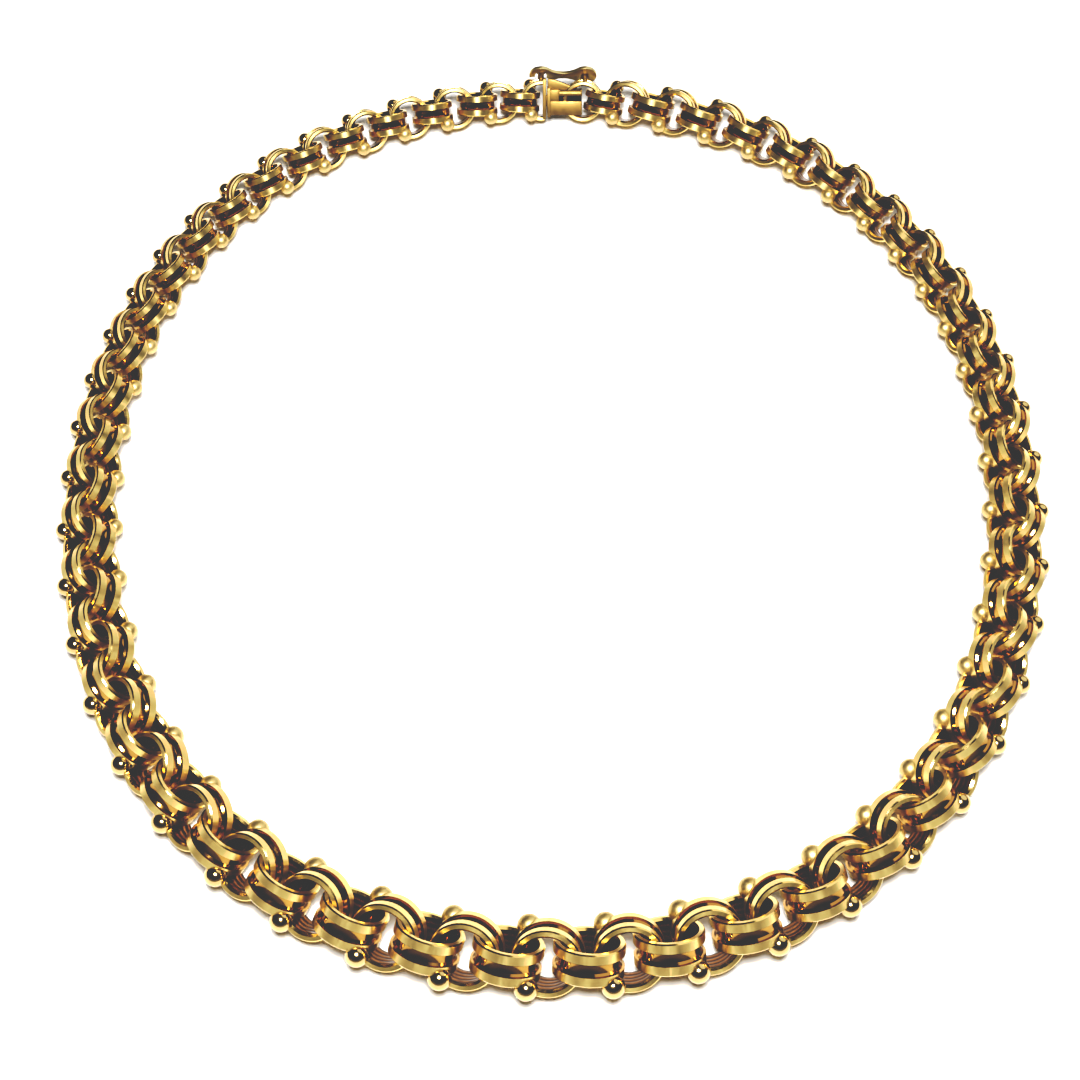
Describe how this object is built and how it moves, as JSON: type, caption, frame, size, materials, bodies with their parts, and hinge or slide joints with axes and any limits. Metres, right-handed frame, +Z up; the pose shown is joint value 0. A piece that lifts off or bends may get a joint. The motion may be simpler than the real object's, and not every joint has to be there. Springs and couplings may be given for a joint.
{
  "type": "chain necklace",
  "caption": "Graduated gold chain necklace of wide double-rimmed rings with ball-headed cross pins, box clasp and hinged safety catch, lying closed on a surface.",
  "frame": {"origin": "middle of the loop's bounding box on the surface that the necklace lies on", "axes": "+Z up from the surface, +Y from the front of the necklace towards the clasp, +X to the right seen from above"},
  "size_m": [0.1458, 0.157, 0.0103],
  "materials": {
    "link_gold": "satin rims with polished bores, yellow gold",
    "pin_gold": "polished yellow gold",
    "clasp_gold": "polished yellow gold",
    "catch_gold": "polished yellow gold"
  },
  "bodies": {
    "necklace": {"chain_links": "link_gold", "cross_pins": "pin_gold", "clasp_box": "clasp_gold", "clasp_tongue": "clasp_gold"},
    "catch": {"safety_catch": "catch_gold"}
  },
  "joints": [
    {"name": "catch_hinge", "type": "hinge", "parent": "necklace", "child": "catch", "pos_m": [0.00537, 0.0778, 0.0048], "axis": [0, 1, 0], "range_deg": [0, 110]}
  ]
}
